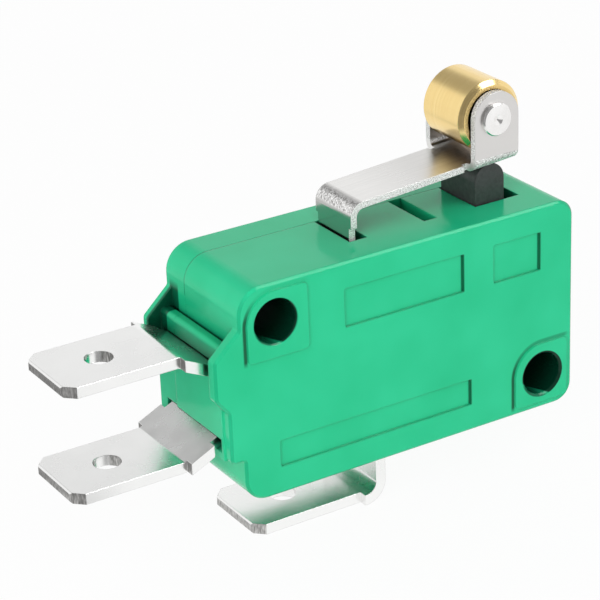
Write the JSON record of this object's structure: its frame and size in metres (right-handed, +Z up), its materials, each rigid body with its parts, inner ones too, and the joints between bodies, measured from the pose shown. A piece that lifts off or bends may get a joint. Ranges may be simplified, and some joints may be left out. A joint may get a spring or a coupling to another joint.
{
  "type": "micro switch",
  "caption": "Snap-action micro switch: flat green case with two mounting holes, tab terminals at one end and below, and a hinged roller lever over a round-topped plunger.",
  "frame": {"origin": "on the axis of the lower mounting hole, half way through the body", "axes": "+X along the body's length away from the two tabs at its end, +Y through the body along the mounting holes to its cover, +Z up from the tab below the body to the lever"},
  "size_m": [0.0398, 0.0104, 0.029],
  "materials": {
    "housing": "moulded, glossy green",
    "plunger": "moulded, black",
    "lever": "stamped stainless sheet, satin",
    "roller": "turned brass",
    "roller_pin": "turned stainless rivet",
    "terminals": "tin-plated brass sheet",
    "contacts": "silver alloy contact face",
    "snap_blades": "rolled copper alloy sheet",
    "drive_lever": "stamped stainless strip",
    "coil_spring": "bright spring wire"
  },
  "bodies": {
    "housing": {"case": "housing", "cover": "housing", "com_terminal": "terminals", "nc_terminal": "terminals", "no_terminal": "terminals", "nc_contact": "contacts", "no_contact": "contacts"},
    "lever": {"lever": "lever", "roller_pin": "roller_pin"},
    "roller": {"roller": "roller"},
    "plunger": {"plunger": "plunger"},
    "drive_lever": {"drive_lever": "drive_lever", "coil_spring": "coil_spring"},
    "contact_arm": {"contact_arm": "snap_blades", "moving_contact": "contacts"}
  },
  "joints": [
    {"name": "lever_pivot", "type": "hinge", "parent": "housing", "child": "lever", "pos_m": [-0.014, 0, 0.0122], "axis": [0, 1, 0], "range_deg": [0, 8.59], "stiffness_Nm_per_rad": 0.02, "springref_deg": -28.65},
    {"name": "roller_spin", "type": "hinge", "parent": "lever", "child": "roller", "pos_m": [-0.00252, 0, 0.01963], "axis": [0, 1, 0], "continuous": true},
    {"name": "plunger_slide", "type": "slide", "parent": "housing", "child": "plunger", "axis": [0, 0, -1], "range_m": [0, 0.00174]},
    {"name": "drive_pivot", "type": "hinge", "parent": "housing", "child": "drive_lever", "pos_m": [-0.01312, 0, 0.0074], "axis": [0, 1, 0], "range_deg": [0, 9.4], "deforming": ["coil_spring"]},
    {"name": "arm_pivot", "type": "hinge", "parent": "housing", "child": "contact_arm", "pos_m": [-0.01358, 0, 0.0042], "axis": [0, 1, 0], "range_deg": [-6.05, 0]}
  ],
  "couplings": [
    {"joint": "plunger_slide", "follows": "lever_pivot", "m_per_rad": 0.0116},
    {"joint": "drive_pivot", "follows": "lever_pivot", "ratio": 1.088},
    {"joint": "arm_pivot", "follows": "lever_pivot", "ratio": -0.7}
  ]
}
